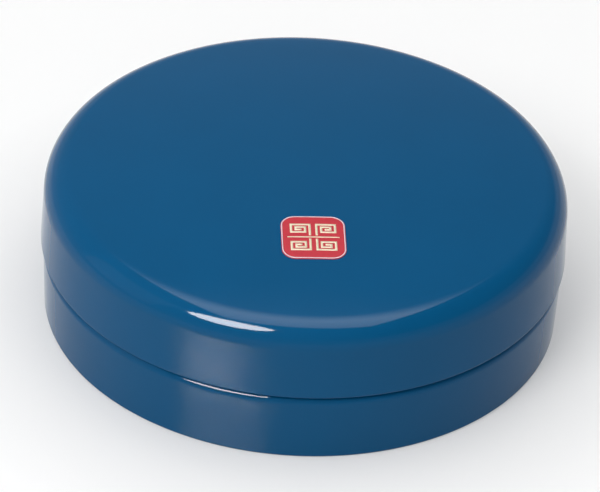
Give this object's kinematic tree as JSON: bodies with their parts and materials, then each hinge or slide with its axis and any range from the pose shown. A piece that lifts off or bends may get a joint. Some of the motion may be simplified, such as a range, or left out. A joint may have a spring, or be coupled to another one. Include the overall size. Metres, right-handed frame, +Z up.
{
  "type": "seal paste box",
  "caption": "Round blue plastic box for seal paste: a press-on lid with a rounded edge and a small label, over a low base that carries an inked cloth pad, dish and sealing ring.",
  "frame": {"origin": "centre of the underside, on the surface the box rests on", "axes": "+Z up along the box's axis; -Y towards the label, the side the picture is taken from; +X to the right of the label"},
  "size_m": [0.078, 0.078, 0.0261],
  "materials": {
    "shell_plastic": "glossy blue moulded plastic, smooth, highly polished",
    "dish_plastic": "off-white moulded plastic with a fine satin surface",
    "ring_plastic": "off-white moulded plastic, smooth, faintly stained by ink at its inner lip",
    "liner_plastic": "off-white moulded plastic, satin",
    "seal_rubber": "pale grey soft elastomer, matte",
    "inked_felt": "dense felt soaked with vermilion ink",
    "inked_sponge": "open-cell foam soaked with vermilion ink",
    "inked_cloth": "close plain-woven cloth, damp with vermilion ink",
    "lid_label_film": "thin printed film, red with a pale line at its edge",
    "base_label_film": "thin plain white label"
  },
  "bodies": {
    "base": {"base_shell": "shell_plastic", "base_label": "base_label_film", "paste_dish": "dish_plastic", "ink_felt": "inked_felt", "ink_sponge": "inked_sponge", "pad_cloth": "inked_cloth", "cloth_ring": "ring_plastic"},
    "seal": {"seal_ring": "seal_rubber"},
    "lid": {"lid_shell": "shell_plastic", "lid_liner": "liner_plastic", "lid_label": "lid_label_film"}
  },
  "joints": [
    {"name": "lid_turn", "type": "hinge", "parent": "base", "child": "seal", "pos_m": [0, 0, 0.0156], "axis": [0, 0, 1], "continuous": true},
    {"name": "lid_lift", "type": "slide", "parent": "seal", "child": "lid", "axis": [0, 0, 1], "range_m": [0, 0.045]}
  ]
}
